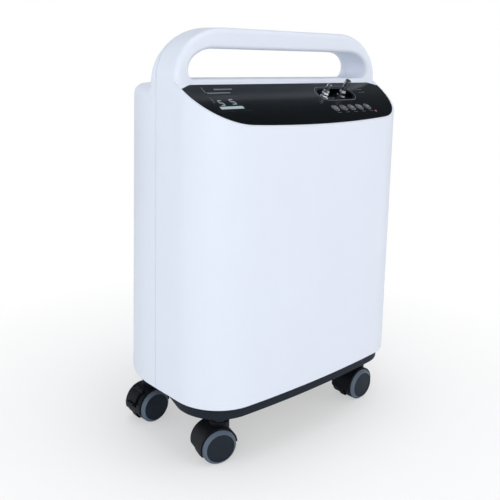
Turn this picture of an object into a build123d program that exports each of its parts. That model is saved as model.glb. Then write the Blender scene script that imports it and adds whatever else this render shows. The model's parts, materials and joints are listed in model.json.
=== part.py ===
"""Stationary oxygen concentrator on four twin-wheel casters.

Millimetres: +Z up, origin on the floor at the centre of the footprint, front face towards -Y,
X across the width.  Heights below count from a level DATUM under the floor; save() lowers
every piece by that much and writes it to parts/NODE.step.
"""

from build123d import *
import math
import os

os.makedirs("parts", exist_ok=True)

# ---------------------------------------------------------------- driving dimensions
DATUM = 15.0         # the floor lies this far above the zero level of the script
WIDTH = 356.0        # casing width at its lower edge
DEPTH = 248.0        # casing depth at its lower edge
DRAFT = 0.0175       # inward draft of every side wall, mm per mm of height
BOW_FRONT = 9.5      # crown of the front face across the width
BOW_SIDE = 6.6       # crown of each side face
BOW_REAR = 2.5       # crown of the rear face
R_FRONT = 62.0       # vertical corner radius, front
R_REAR = 120.0       # vertical corner radius, rear
FLAT_SIDE = (-50.0, -6.0)   # depth range over which each side face is flat
WALL = 3.0           # casing wall
Z_SHELL = 96.0       # lower edge of the casing shells
Z_LOFT = 500.0       # height the untrimmed casing body runs up to
Y_PART = -10.0       # parting plane of the two shells
PART_GAP = 0.25      # clearance of each shell from the parting plane
Z_SLOPE = 418.5      # height of the control slope at the front edge
SLOPE = 0.627        # rise of the control slope per mm of depth
SLOPE_ANGLE = math.degrees(math.atan(SLOPE))
Y_SLOPE = -47.0      # back edge of the control slope
Z_LEDGE = 472.0      # ledge under the handle
Z_DECK = 463.0       # rear top deck
R_DECK = 12.0        # edge radius round the rear deck
R_COVE = 9.0         # hollow radius between the handle and the rear deck
Y_HANDLE_BACK = 5.0  # back of the handle at its root
Z_TOP = 528.0        # top of the handle
Z_BOSS = 84.4        # foot of the screw bosses, and floor inside the base rim
Z_BASE = 80.0        # lower face of the base rim
Z_PAN = 72.0         # lower face of the base pan
FLOOR_IN = Z_PAN + 3 # upper face of the base pan
BASE_INSET = 7.0     # base rim inset from the casing, front
BASE_INSET_R = 20.0  # base rim inset from the casing, sides and rear
BEYOND_Y = 160.0     # cutting prisms reach this far to front and rear
UNDER_Z = 40.0       # and down to here

# screws that hold the shells down: x, y
FRONT_SCREWS = [(0.0, -106.0), (-150.0, -36.0), (150.0, -36.0)]
REAR_SCREWS = [(0.0, 95.5), (-146.0, 27.0), (146.0, 27.0)]
SCREWS = FRONT_SCREWS + REAR_SCREWS
# casters: stem x, stem y, way the wheels trail from the stem in degrees, radius of the base pad
CASTERS = {"fl": (-131.5, -79.0, 164.0, 17.0), "fr": (131.5, -79.0, 180.0, 17.0),
           "rl": (-136.5, 59.0, 180.0, 14.0), "rr": (136.5, 59.0, 180.0, 14.0)}
SIEVE_BED = (96.0, 53.0)    # axis of the right sieve bed; the left one mirrors it


# ---------------------------------------------------------------- general helpers
def biggest(shape):
    return max(shape.solids(), key=lambda s: s.volume)


def save(name, *shapes):
    """Write one piece made of the largest solid of each shape, lowered to the floor."""
    solids = [biggest(s).moved(Location((0, 0, -DATUM))) for s in shapes]
    piece = solids[0] if len(solids) == 1 else Compound(children=solids)
    piece.label = name
    export_step(piece, f"parts/{name}.step")


def box(x0, x1, y0, y1, z0, z1):
    return Pos((x0 + x1) / 2, (y0 + y1) / 2, (z0 + z1) / 2) * Box(x1 - x0, y1 - y0, z1 - z0)


def cyl(start, radius, length, axis="z"):
    """Cylinder from the point start, running along +axis."""
    turn = {"x": Rot(0, 90, 0), "y": Rot(-90, 0, 0), "z": Rot(0, 0, 0)}[axis]
    return Pos(*start) * turn * Cylinder(radius, length, align=(Align.CENTER, Align.CENTER, Align.MIN))


def prism_yz(points, x0=-260.0, x1=260.0):
    """Polygon of (y, z) points carried along X."""
    face = make_face(Plane.YZ * Polyline(*points, close=True))
    return extrude(Pos(x0, 0, 0) * face, amount=x1 - x0, dir=(1, 0, 0))


def along_y(face, y0, y1):
    return extrude(Pos(0, y0, 0) * face, amount=y1 - y0, dir=(0, 1, 0))


def turned(profile):
    """Solid of revolution about Z from (radius, height) points."""
    return revolve(make_face(Plane.XZ * Polyline(*profile, close=True)), axis=Axis.Z)


def disc(radius, z0, z1, x=0.0, y=0.0):
    return cyl((x, y, z0), radius, z1 - z0)


def slab(size_x, size_y, z0, z1, radius=0.0):
    face = RectangleRounded(size_x, size_y, radius) if radius else Rectangle(size_x, size_y)
    return extrude(Pos(0, 0, z0) * face, amount=z1 - z0)


def obround(length, width, z0, z1):
    return extrude(Pos(0, 0, z0) * SlotOverall(length, width), amount=z1 - z0)


def level_edges(shape, z, tolerance=0.01):
    """Edges that lie wholly at height z."""
    boxed = [(e, e.bounding_box()) for e in shape.edges()]
    return [e for e, bb in boxed if abs(bb.min.Z - z) < tolerance and abs(bb.max.Z - z) < tolerance]


def try_fillet(shape, edges, radius):
    """Fillet the edges; guards against a radius the kernel can't build, leaving them sharp."""
    try:
        return fillet(edges, radius)
    except Exception:
        return shape


# ---------------------------------------------------------------- casing body and control slope
def plan(z, inset=0.0, draft=True):
    """Casing outline at height z, moved inward by inset."""
    shrink = inset + (DRAFT * (z - Z_SHELL) if draft else 0.0)
    half_w, half_d = WIDTH / 2 - shrink, DEPTH / 2 - shrink
    corner_x = half_w - BOW_SIDE
    front_y, rear_y = -half_d + BOW_FRONT, half_d - BOW_REAR

    def side_middle(y0, y1):
        """Middle of the arc that leaves the flat at y0, tangent to it, and ends at y1."""
        run = abs(y1 - y0)
        radius = (run * run + BOW_SIDE ** 2) / (2 * BOW_SIDE)
        angle = math.asin(run / radius) / 2
        return (half_w - radius * (1 - math.cos(angle)),
                y0 + math.copysign(radius * math.sin(angle), y1 - y0))

    y0, y1 = FLAT_SIDE
    mid_front, mid_rear = side_middle(y0, front_y), side_middle(y1, rear_y)
    face = make_face(Curve() + [
        ThreePointArc((-corner_x, front_y), (0, -half_d), (corner_x, front_y)),
        ThreePointArc((corner_x, front_y), mid_front, (half_w, y0)),
        Line((half_w, y0), (half_w, y1)),
        ThreePointArc((half_w, y1), mid_rear, (corner_x, rear_y)),
        ThreePointArc((corner_x, rear_y), (0, half_d), (-corner_x, rear_y)),
        ThreePointArc((-corner_x, rear_y), (-mid_rear[0], mid_rear[1]), (-half_w, y1)),
        Line((-half_w, y1), (-half_w, y0)),
        ThreePointArc((-half_w, y0), (-mid_front[0], mid_front[1]), (-corner_x, front_y)),
    ])
    front = [v for v in face.vertices() if v.Y < front_y + 1 and abs(v.X) > corner_x - 1]
    face = fillet(front, R_FRONT - inset)
    rear = [v for v in face.vertices() if v.Y > rear_y - 1 and abs(v.X) > corner_x - 1]
    face = fillet(rear, R_REAR - inset)
    return Pos(0, 0, z) * face


def body(inset=0.0, z0=Z_SHELL, z1=Z_LOFT):
    """Drafted casing body, inset from the outer faces."""
    return loft([plan(z0, inset).face(), plan(z1, inset).face()], ruled=True)


def slope_height(y):
    return Z_SLOPE + SLOPE * (y + DEPTH / 2)


def on_slope(x, y):
    """Frame on the control slope: local y runs up the slope, local z is its outward normal."""
    return Pos(x, y, slope_height(y)) * Rot(SLOPE_ANGLE, 0, 0)


def slope_band(y_back, low, high):
    """Prism between two heights relative to the control slope, ending at y_back."""
    z_front, z_back = slope_height(-BEYOND_Y), slope_height(y_back)
    return prism_yz([(-BEYOND_Y, z_front + low), (-BEYOND_Y, z_front + high),
                     (y_back, z_back + high), (y_back, z_back + low)])


# ---------------------------------------------------------------- handle
def handle_outline(inward=0.0):
    """Outer outline of the arch in XZ."""
    side_x = WIDTH / 2 - DRAFT * (Z_LEDGE - Z_SHELL) - inward
    radius_x, radius_z = 71.4 - inward, Z_TOP - Z_LEDGE - inward
    arc_x, z_top, z_foot = side_x - radius_x, Z_LEDGE + radius_z, Z_LEDGE - 30
    return make_face(Plane.XZ * (Curve() + [
        Line((side_x, z_foot), (side_x, Z_LEDGE)),
        EllipticalCenterArc((arc_x, Z_LEDGE), radius_x, radius_z, start_angle=0, arc_size=90),
        Line((arc_x, z_top), (-arc_x, z_top)),
        EllipticalCenterArc((-arc_x, Z_LEDGE), radius_x, radius_z, start_angle=90, arc_size=90),
        Line((-side_x, Z_LEDGE), (-side_x, z_foot)),
        Line((-side_x, z_foot), (side_x, z_foot)),
    ]))


def opening_outline(outward=0.0):
    """Hand opening in XZ: elliptical upper corners, round lower ones."""
    half, low, high = 153.0 + outward, Z_LEDGE - outward, 505.0 + outward
    radius_x, radius_z, radius = 38.0 + outward, 24.0 + outward, 8.0 + outward
    arc_x, arc_z = half - radius_x, high - radius_z
    return make_face(Plane.XZ * (Curve() + [
        EllipticalCenterArc((arc_x, arc_z), radius_x, radius_z, start_angle=0, arc_size=90),
        Line((arc_x, high), (-arc_x, high)),
        EllipticalCenterArc((-arc_x, arc_z), radius_x, radius_z, start_angle=90, arc_size=90),
        Line((-half, arc_z), (-half, low + radius)),
        CenterArc((-half + radius, low + radius), radius, 180, 90),
        Line((-half + radius, low), (half - radius, low)),
        CenterArc((half - radius, low + radius), radius, 270, 90),
        Line((half, low + radius), (half, arc_z)),
    ]))


# side view of the arch: y, z
HANDLE_SIDE = [(Y_SLOPE, 440.0), (Y_SLOPE, Z_LEDGE), (-45.0, 540.0), (-8.0, 540.0), (9.57, 440.0)]
HANDLE_CORE_SIDE = [(-43.5, 440), (-43.5, 530), (-9.5, 530), (1.0, 468), (1.0, 440)]
HANDLE_CORE_WALL = 3.2


def rim_edges(shape, back, low, high, half):
    """Edges on the front or back face of the arch, between two heights and within a half width."""
    out = []
    for e in shape.edges():
        bb = e.bounding_box()
        if bb.min.Z < low or bb.max.Z > high or max(abs(bb.min.X), abs(bb.max.X)) > half:
            continue
        if (back and bb.min.Y > -20 and bb.size.Y < 14) or (not back and bb.max.Y < -44):
            out.append(e)
    return out


def handle_solid():
    arch = along_y(handle_outline(), -60, 20) & prism_yz(HANDLE_SIDE)
    for back, radius in ((False, 6.0), (True, 7.0)):
        rim = [e for e in rim_edges(arch, back, Z_LEDGE - 30.5, 540, 200)
               if 5 < e.length < 250 and e.bounding_box().max.Z > Z_LEDGE - 29]
        arch = fillet(rim, radius)
    arch = arch - along_y(opening_outline(), -60, 20)
    for back in (False, True):
        arch = fillet(rim_edges(arch, back, Z_LEDGE - 1, 507, 154), 4.0)
    return arch


def handle_core():
    """Hollow of the arch, kept high enough that the ledge wall stays closed."""
    core = along_y(handle_outline(HANDLE_CORE_WALL), -43.5, 0.0) & prism_yz(HANDLE_CORE_SIDE)
    core = core - along_y(opening_outline(HANDLE_CORE_WALL), -60, 20)
    return core & box(-200, 200, -60, 20, Z_LEDGE - 8, 530)


# ---------------------------------------------------------------- casing shells
def casing():
    """Both shells in one, with the handle, hollowed out."""
    y_root, y_step = Y_SLOPE + 6, Y_HANDLE_BACK - 13
    z_root = slope_height(y_root)
    skin = body() & prism_yz([
        (-BEYOND_Y, UNDER_Z), (-BEYOND_Y, slope_height(-BEYOND_Y)), (y_root, z_root),
        (y_step, z_root), (y_step, Z_DECK), (BEYOND_Y, Z_DECK), (BEYOND_Y, UNDER_Z)])
    shoulder = [e for e in level_edges(skin, Z_DECK) if e.center().Y > Y_HANDLE_BACK + 1]
    skin = try_fillet(skin, shoulder, R_DECK)

    slope_drop = 6.2     # top of the cavity below the control slope
    y_front, y_back = Y_SLOPE + WALL, Y_HANDLE_BACK - WALL - 1
    cavity = body(WALL, Z_SHELL - 1) & prism_yz([
        (-BEYOND_Y, UNDER_Z), (-BEYOND_Y, slope_height(-BEYOND_Y) - slope_drop),
        (y_front, slope_height(y_front) - slope_drop), (y_front, Z_LEDGE - WALL),
        (y_back, Z_LEDGE - WALL), (y_back, Z_DECK - WALL),
        (BEYOND_Y, Z_DECK - WALL), (BEYOND_Y, UNDER_Z)])
    shoulder = [e for e in level_edges(cavity, Z_DECK - WALL)
                if e.center().Y > Y_HANDLE_BACK - WALL + 1]
    cavity = fillet(shoulder, R_DECK - WALL)

    whole = skin + handle_solid()
    cove = [e for e in level_edges(whole, Z_DECK, 0.02)
            if e.bounding_box().max.Y < 9 and e.bounding_box().min.Y > 2]
    whole = try_fillet(whole, cove, R_COVE)
    return whole - cavity - handle_core()


def add_screw_boss(shell, x, y, wall_x, wall_y):
    """The shell with a screw boss at (x, y), a rib from it to the wall, and a pilot hole."""
    top, rib_low, rib_half = 124, 109.6, 1.5
    if x == 0:
        rib = box(-rib_half, rib_half, *sorted((y, wall_y)), rib_low, top)
    else:
        ends = sorted((x, math.copysign(wall_x, x)))
        rib = box(*ends, y - rib_half, y + rib_half, rib_low, top)
    shell = shell + cyl((x, y, Z_BOSS), 5.0, top - Z_BOSS) + (rib & body(1.0, 90, 130))
    return shell - cyl((x, y, Z_BOSS - 1), 1.6, 30)


PANEL_T = 3.2                # control panel thickness, measured upright
PANEL_N = PANEL_T * math.cos(math.radians(SLOPE_ANGLE))    # and along its normal
LCD = (-122.0, -77.0)        # centre of the display on the slope: x, y


def corner_cuts(widen=0.0):
    """Wedges that take the back corners off the panel outline."""
    out = []
    for side in (-1, 1):
        y_in, y_out = -46.65 - widen, -61.7 - widen
        face = make_face(Polyline((side * 151, -30), (side * 151, y_in), (side * 190, y_out),
                                  (side * 190, -30), close=True))
        out.append(extrude(Pos(0, 0, 380) * face, amount=160, dir=(0, 0, 1)))
    return out


def front_shell(case):
    shell = case & box(-260, 260, -200, Y_PART - PART_GAP, 0, 600)
    # recess for the control panel
    recess = body(2.2) & slope_band(Y_SLOPE - 0.8, -PANEL_T, 30)
    for wedge in corner_cuts():
        recess = recess - wedge
    shell = shell - recess
    # openings in the floor below the panel: display side, then key and outlet side
    shell = shell - ((on_slope(*LCD) * (Pos(0, 0, -20) * Box(64, 44, 40))) & body(6.0))
    shell = shell - on_slope(70, -77) * (Pos(0, 0, -20) * Box(104, 64, 40))
    for x, y in FRONT_SCREWS:
        shell = add_screw_boss(shell, x, y, 175.6, -122.3)
    return shell


# filter pocket: half width, low, high, y of its floor
FILTER_HALF, FILTER_LOW, FILTER_HIGH, FILTER_Y = 55.0, 306.0, 430.0, 110.0
DOOR_PIVOT = (116.5, 310.2)  # hinge line of the filter door: y, z
# electrical pocket: half width, low, high, y of its floor
POCKET_HALF, POCKET_LOW, POCKET_HIGH, POCKET_Y = 54.0, 122.0, 178.0, 112.0
# centres of the pieces in the electrical pocket: x, z
INLET = (-25.5, 149.0)
SWITCH = (12.0, 150.0)
BREAKER = (38.0, 150.0)
OUT_Y = 140                  # rear cutters run out past the casing to here


def port_box(centre, half_x, half_z, y0, y1):
    x, z = centre
    return box(x - half_x, x + half_x, y0, y1, z - half_z, z + half_z)


def breaker_cyl(radius, y, length):
    return cyl((BREAKER[0], y, BREAKER[1]), radius, length, "y")


def rear_shell(case):
    shell = case & box(-260, 260, Y_PART + PART_GAP, 200, 0, 600)
    for x, y in REAR_SCREWS:
        shell = add_screw_boss(shell, x, y, 176, 122.3)
    # filter pocket and the opening in its floor
    half, low, high = FILTER_HALF, FILTER_LOW, FILTER_HIGH
    under_deck = prism_yz([(60, UNDER_Z), (60, Z_DECK - 1), (104, Z_DECK - 1), (200, 360),
                           (200, UNDER_Z)])
    shell = shell + (box(-half - WALL, half + WALL, FILTER_Y - WALL, OUT_Y, low - WALL, high + WALL)
                     & body(0.6) & under_deck)
    shell = shell - box(-half, half, FILTER_Y, OUT_Y, low, high)
    shell = shell - box(-half + 7, half - 7, FILTER_Y - 8, OUT_Y, low + 8, high - 8)
    # electrical pocket
    half, low, high = POCKET_HALF, POCKET_LOW, POCKET_HIGH
    shell = shell + (box(-half - WALL, half + WALL, POCKET_Y - WALL, OUT_Y, low - WALL, high + WALL)
                     & body(0.6))
    shell = shell - box(-half, half, POCKET_Y, OUT_Y, low, high)
    # louvres
    for i in range(9):
        z = 204.0 + i * 9.0
        shell = shell - box(-50, 50, 100, OUT_Y, z, z + 4)
    # hinge holes of the filter door
    shell = shell - cyl((-FILTER_HALF - 2.2, *DOOR_PIVOT), 1.56, 2 * FILTER_HALF + 4.4, "x")
    # cut-outs for inlet, switch and breaker
    shell = shell - port_box(INLET, 13.7, 10.1, POCKET_Y - 5, POCKET_Y + 1)
    shell = shell - port_box(SWITCH, 6.6, 10.1, POCKET_Y - 5, POCKET_Y + 1)
    return shell - breaker_cyl(4.6, POCKET_Y - 5, 6)


case = casing()
save("front_shell", front_shell(case))
save("rear_shell", rear_shell(case))


# ---------------------------------------------------------------- base tray and shell screws
STEM_R = 5.5         # caster stem radius
SCREW_SEAT = 81.9    # upper side of the screw heads


def base_solid(z0, z1, inset=0.0, soft=False):
    """Upright solid on the base outline: close under the casing in front, well inside it behind.

    soft rounds the steps between the two widths.
    """
    height = z1 - z0
    x_front, x_rear = WIDTH / 2 - BASE_INSET - inset, WIDTH / 2 - BASE_INSET_R - inset
    y_front, y_rear = FLAT_SIDE
    fore = extrude(make_face(Polyline(
        (-x_front, y_front), (-x_rear, y_rear), (x_rear, y_rear), (x_front, y_front),
        (x_front, -200), (-x_front, -200), close=True)), amount=height)
    low = extrude(plan(0, BASE_INSET + inset, False), amount=height) & fore
    rest = (extrude(plan(0, BASE_INSET_R + inset, False), amount=height)
            & box(-200, 200, y_rear, 200, -1, height + 1))
    out = low + rest
    if soft:
        for y, radius in ((y_front, 40.0), (y_rear, 30.0)):
            out = fillet([e for e in out.edges()
                          if e.bounding_box().size.Z > height - 0.1
                          and e.bounding_box().size.Y < 0.01
                          and abs(e.center().Y - y) < 0.3 and abs(e.center().X) > 150], radius)
    return Pos(0, 0, z0) * biggest(out)


def base_tray():
    rim = base_solid(Z_BASE, 104, 0.0, True)
    rim = rim - base_solid(Z_BOSS, 110, 3.0)
    lip = extrude(plan(99, 3.6, False), amount=3) - base_solid(98, 103, 1.0)
    pan = loft([plan(Z_PAN, 27, False).face(), plan(Z_BOSS - 2, 24, False).face()], ruled=True)
    # pads under the caster stems, the shell screws behind the front one, and the sieve beds
    bed_x, bed_y = SIEVE_BED
    pads = Compound(children=[
        *[cyl((x, y, Z_PAN), pad_r, 96 - Z_PAN) for x, y, _, pad_r in CASTERS.values()],
        *[cyl((x, y, Z_PAN), 7.0, Z_BOSS - Z_PAN) for x, y in SCREWS[1:]],
        *[cyl((side * (bed_x + dx), bed_y + dy, Z_PAN), 6.0, 96 - Z_PAN)
          for side in (-1, 1) for dx, dy in ((-13, -15), (-16, 13), (17, -7))]])
    tray = rim + lip + pan
    for pad in pads.solids():
        tray = tray + pad
    hollow = loft([plan(FLOOR_IN, 30, False).face(), plan(Z_BOSS + 1, 28, False).face()],
                  ruled=True)
    tray = tray - (hollow - pads)
    for x, y, _, _ in CASTERS.values():
        tray = tray - cyl((x, y, Z_PAN - 1), STEM_R + 0.02, 92 - Z_PAN + 1)
    for x, y in SCREWS:
        tray = tray - cyl((x, y, Z_PAN - 1), 2.1, 16)
        tray = tray - cyl((x, y, Z_PAN - 1), 3.9, SCREW_SEAT - Z_PAN + 1)
    # row of slots through the pan
    for i in range(7):
        x = -54.0 + 18.0 * i
        tray = tray - box(x - 3, x + 3, -78, -36, Z_PAN - 1, Z_PAN + 5)
    return tray


def shell_screw(x, y):
    """Screw with a cross recess in its head, pointing up."""
    screw = turned([(0, 80.4), (3.5, 80.4), (3.6, SCREW_SEAT), (1.55, SCREW_SEAT), (1.55, 101),
                    (0.6, 103), (0, 103)])
    place = Pos(x, y, 79.9)
    return Pos(x, y, 0) * screw - place * Box(4, 0.8, 2) - place * Box(0.8, 4, 2)


save("base_tray", base_tray())
save("shell_screws", *[shell_screw(x, y) for x, y in SCREWS])

# ---------------------------------------------------------------- casters
# Each caster is built with its stem axis at the origin and the wheels trailing towards +X.
WHEEL_R = 22.5
TRAIL = 7.0                  # axle offset from the stem
AXLE_Z = DATUM + WHEEL_R
AXLE_R = 3.0
WHEELS_HALF = 21.0           # half width over both wheels
WEB = 4.0                    # half thickness of the hood web
HOOD_TOP = 66.5
HOOD_R, HOOD_IN, HOOD_HALF = 24.7, 23.2, 16.5    # cover radius outside and inside, half width
BRAKE_ANGLE, BRAKE_R = 58.0, 26.6                # brake pivot about the axle
BRAKE_X = TRAIL + BRAKE_R * math.cos(math.radians(BRAKE_ANGLE))
BRAKE_Z = AXLE_Z + BRAKE_R * math.sin(math.radians(BRAKE_ANGLE))

STEM_PROFILE = [
    (0, 48.6), (1.9, 48.6), (2.2, 48.9), (2.2, 60.6), (STEM_R, 60.6), (STEM_R, 66.6),
    (9.0, 66.6), (9.0, 71.98), (STEM_R, 71.98), (STEM_R, 89.4), (4.9, 90), (0, 90)]


def about_axle(radius, half):
    """Cylinder on the axle line."""
    return cyl((TRAIL, -half, AXLE_Z), radius, 2 * half, "y")


def at_brake(radius, y, length):
    """Cylinder on the brake pivot line."""
    return cyl((BRAKE_X, y, BRAKE_Z), radius, length, "y")


def sector(angle0, angle1, r_in, r_out, half):
    """Part of a ring about the axle, between two angles above the level."""
    rays = [math.radians(a) for a in (angle0, (angle0 + angle1) / 2, angle1)]
    points = [(TRAIL, AXLE_Z)]
    points += [(TRAIL + 60 * math.cos(a), AXLE_Z + 60 * math.sin(a)) for a in rays]
    wedge = along_y(make_face(Plane.XZ * Polyline(*points, close=True)), -half - 2, half + 2)
    return (about_axle(r_out, half) - about_axle(r_in, half + 1)) & wedge


def caster_hood(brake):
    """Hood over the wheels, with a slot and pivot ears where it carries a brake lever."""
    room = about_axle(HOOD_IN, 30)
    cover = (about_axle(HOOD_R, HOOD_HALF) - room) & (
        box(-60, TRAIL, -30, 30, AXLE_Z + 2, 90) + box(TRAIL, 80, -30, 30, AXLE_Z - 6, 90))
    web = about_axle(HOOD_R, WEB) & box(-60, 80, -30, 30, DATUM + 4.5, 90)
    neck = cyl((0, 0, 48), 12.5, HOOD_TOP - 48)
    hood = cover + web + (neck - room) + (neck & box(-60, 80, -WEB, WEB, 5, 80))
    if brake:
        hood = hood - sector(4, 56, 22.7, 45, 8.6) - at_brake(2.75, -8.6, 17.2)
        for y in (-11.1, 8.7):
            hood = hood + (at_brake(2.9, y, 2.4) - room)
        hood = hood - at_brake(1.26, -11.5, 23)
    hood = hood - cyl((0, 0, 48.4), 2.25, 30) - cyl((0, 0, 60.5), STEM_R + 0.05, 40)
    return hood - cyl((TRAIL, -25, AXLE_Z), AXLE_R + 0.01, 50, "y")


def wheel(side):
    """One wheel of the pair; side -1 lies towards -Y, its bevelled disc outwards."""
    bore, inner, outer = AXLE_R + 0.05, WEB + 1.2, WHEELS_HALF
    profile = [
        (bore, inner), (9.0, inner), (9.0, inner + 2.0), (17.5, inner + 3.0), (18.0, inner),
        (21.2, inner), (WHEEL_R, inner + 1.3), (WHEEL_R, outer - 4.0), (18.5, outer),
        (18.1, outer), (17.7, outer - 0.7), (17.2, outer - 0.7), (0, outer - 0.2),
        (0, outer - 3.4), (bore, outer - 3.4)]
    return Pos(TRAIL, 0, AXLE_Z) * (Rot(90 if side < 0 else -90, 0, 0) * turned(profile))


def brake_lever():
    lever = sector(13, 56, 25.5, 27.5, 8.0) + sector(12, 17, 25.5, 31.0, 8.0)
    return lever + at_brake(2.4, -8.4, 16.8) + at_brake(1.22, -10.9, 21.8)


save("caster_stems", *[Pos(x, y, 0) * turned(STEM_PROFILE) for x, y, _, _ in CASTERS.values()])
for tag, (x, y, turn, _) in CASTERS.items():
    place = Pos(x, y, 0) * Rot(0, 0, turn)
    brake = tag[0] == "r"
    save(f"caster_hood_{tag}", place * biggest(caster_hood(brake)))
    save(f"caster_axle_{tag}", place * about_axle(AXLE_R, WHEELS_HALF - 3.7))
    # every caster is turned about half round, so wheel a ends up towards -Y
    for letter, side in (("a", 1), ("b", -1)):
        save(f"wheel_{tag}_{letter}", place * wheel(side))
    if brake:
        save(f"brake_lever_{tag}", place * brake_lever())

# ---------------------------------------------------------------- control panel and what it carries
CUP = (66.0, -67.5)          # centre of the outlet cup on the slope: x, y
OXYGEN = (47.5 - CUP[0], 0.8)        # outlets, from the cup centre
NEBULISER = (82.0 - CUP[0], 2.5)
KEY_NAMES = ("power", "minus", "plus", "timer", "mode")
KEYS = {name: 39.0 + 15.5 * i for i, name in enumerate(KEY_NAMES)}    # x of each key
KEY_Y, KEY_R = -92.5, 4.9
KEY_PROUD = 1.1              # key top above the panel
LAMP = (109.0, -100.5)


def control_panel():
    panel = body(2.45) & slope_band(Y_SLOPE - 1.0, -PANEL_T, 0)
    panel = panel - on_slope(*LCD) * slab(46, 30, -10, 5)
    panel = panel - on_slope(*CUP) * obround(68, 26, -10, 5)
    for x in KEYS.values():
        panel = panel - on_slope(x, KEY_Y) * disc(KEY_R + 0.08, -10, 5)
    panel = panel - on_slope(*LAMP) * disc(1.9, -10, 5)
    # posts down to the keypad board
    for x in (28.0, 116.0):
        panel = panel + on_slope(x, KEY_Y + 0.5) * disc(2.2, -5.4, -PANEL_N + 0.01)
    for wedge in corner_cuts(0.25):
        panel = panel - wedge
    return panel


def outlet_cup():
    """Open cup with a flange under the panel and a hole for each outlet."""
    cup = obround(67.6, 25.6, -9.0, -0.4) - obround(63.2, 21.2, -7.0, 1)
    cup = cup + (obround(73, 31, -PANEL_N - 1.6, -PANEL_N - 0.02) - obround(65, 23, -10, 1))
    for x, y in (OXYGEN, NEBULISER):
        cup = cup - disc(3.55, -12, -5, x, y)
    return cup


STUB_X, STUB_LOW = -24, -30  # manifold stub that takes a tube, in the cup frame


def outlet_manifold():
    """Block under the cup with two tube stubs."""
    manifold = slab(62, 20, -22, -9.02)
    for x, y in (OXYGEN, NEBULISER):
        manifold = manifold - disc(3.52, -14, 0, x, y)
    return manifold + cyl((STUB_X, 0, STUB_LOW), 3.0, 9) + cyl((20, 0, STUB_LOW), 3.0, 9)


# outlet profiles: radius, height above the slope
OXYGEN_PROFILE = [
    (0, -13.0), (3.5, -13.0), (3.5, -7.0), (6.4, -7.0), (6.4, -4.4), (5.6, -3.4), (5.0, -3.0),
    (4.2, -1.4), (4.7, -1.0), (4.7, 0.4), (3.7, 2.6), (4.1, 3.0), (4.1, 3.9), (3.0, 5.0),
    (3.0, 13.4), (2.4, 14.0), (1.6, 14.0), (1.6, -11.0), (0, -11.0)]
NEBULISER_PROFILE = [
    (0, -13.0), (3.5, -13.0), (3.5, -7.0), (6.4, -7.0), (6.4, -4.0), (5.2, -2.6), (4.6, 1.0),
    (3.4, 3.6), (3.2, 10.2), (4.0, 11.2), (4.0, 17.4), (3.4, 18.0), (1.9, 18.0), (1.9, -11.0),
    (0, -11.0)]
KEY_PROFILE = [
    (0, -4.3), (6.2, -4.3), (6.2, -PANEL_N - 0.2), (KEY_R, -PANEL_N - 0.2),
    (KEY_R, KEY_PROUD - 0.5), (KEY_R - 0.5, KEY_PROUD), (2.6, KEY_PROUD - 0.25),
    (0, KEY_PROUD - 0.35)]
LAMP_PROFILE = [
    (0, -5.2), (2.6, -5.2), (2.6, -PANEL_N - 0.1), (1.8, -PANEL_N - 0.1), (1.8, 0.1),
    (1.3, 0.6), (0, 0.75)]

save("control_panel", control_panel())
save("lcd_window", on_slope(*LCD) * (slab(45.8, 29.8, -PANEL_N, -0.05)
                                     + slab(50, 34, -PANEL_N - 1.2, -PANEL_N)))
save("lcd_module", on_slope(*LCD) * (slab(54, 36, -PANEL_N - 3.2, -PANEL_N - 1.2)
                                     + slab(48, 30, -PANEL_N - 8.2, -PANEL_N - 3.2)))
save("outlet_cup", on_slope(*CUP) * outlet_cup())
save("oxygen_outlet", on_slope(*CUP) * (Pos(*OXYGEN, 0) * turned(OXYGEN_PROFILE)))
save("nebuliser_outlet", on_slope(*CUP) * (Pos(*NEBULISER, 0) * turned(NEBULISER_PROFILE)))
for name, x in KEYS.items():
    save(f"key_{name}", on_slope(x, KEY_Y) * turned(KEY_PROFILE))
save("keypad_board", on_slope(72.0, KEY_Y) * slab(96, 18, -7.0, -5.4, 2))
save("alarm_lamp", on_slope(*LAMP) * turned(LAMP_PROFILE))
save("outlet_manifold", on_slope(*CUP) * outlet_manifold())


# ---------------------------------------------------------------- rear door and filter
SILENCER_Y = 72.0            # front end of the silencer spigot


def filter_door():
    """Door that follows the rear face, with two columns of louvres and a hinge rod."""
    half = FILTER_HALF - 0.4
    door = ((body(0.5) - body(3.5, Z_SHELL - 1, 501.0))
            & box(-half, half, 60, 160, DOOR_PIVOT[1], FILTER_HIGH - 0.4))
    door = door + cyl((-half, *DOOR_PIVOT), 3.1, 2 * half, "x")
    for i in range(9):
        z = 326.0 + i * 10.4
        door = door - box(-44, -3, 60, 160, z, z + 4.2) - box(3, 44, 60, 160, z, z + 4.2)
    # finger notch in the top edge
    door = door - cyl((0, 122.0, FILTER_HIGH - 2), 9.0, 8)
    return door + cyl((-FILTER_HALF - 1.9, *DOOR_PIVOT), 1.5, 2 * FILTER_HALF + 3.8, "x")


save("filter_door", filter_door())
save("intake_filter", box(-52, 52, FILTER_Y, FILTER_Y + 3.6, 318, 425))
save("intake_silencer",
     box(-52, 52, 86, FILTER_Y - WALL, 311, 426) - box(-49, 49, 89, FILTER_Y, 314, 423)
     + cyl((0, SILENCER_Y, 330), 8.0, 15, "y"))


# ---------------------------------------------------------------- electrical pocket
def power_inlet():
    """Flanged socket with three pins."""
    inlet = (port_box(INLET, 13.5, 9.9, 88, POCKET_Y)
             + port_box(INLET, 17.0, 12.5, POCKET_Y, POCKET_Y + 2.4))
    inlet = inlet - port_box(INLET, 11.9, 7.8, 98, 120)
    for pin in ((-25.5, 153.2), (-32.2, 146.6), (-18.8, 146.6)):
        inlet = inlet + port_box(pin, 1.0, 2.0, 97, 110)
    return inlet


ROCKER_Y = 110.6             # rocker pivot
ROCKER_TILT = 8.0            # degrees


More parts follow.
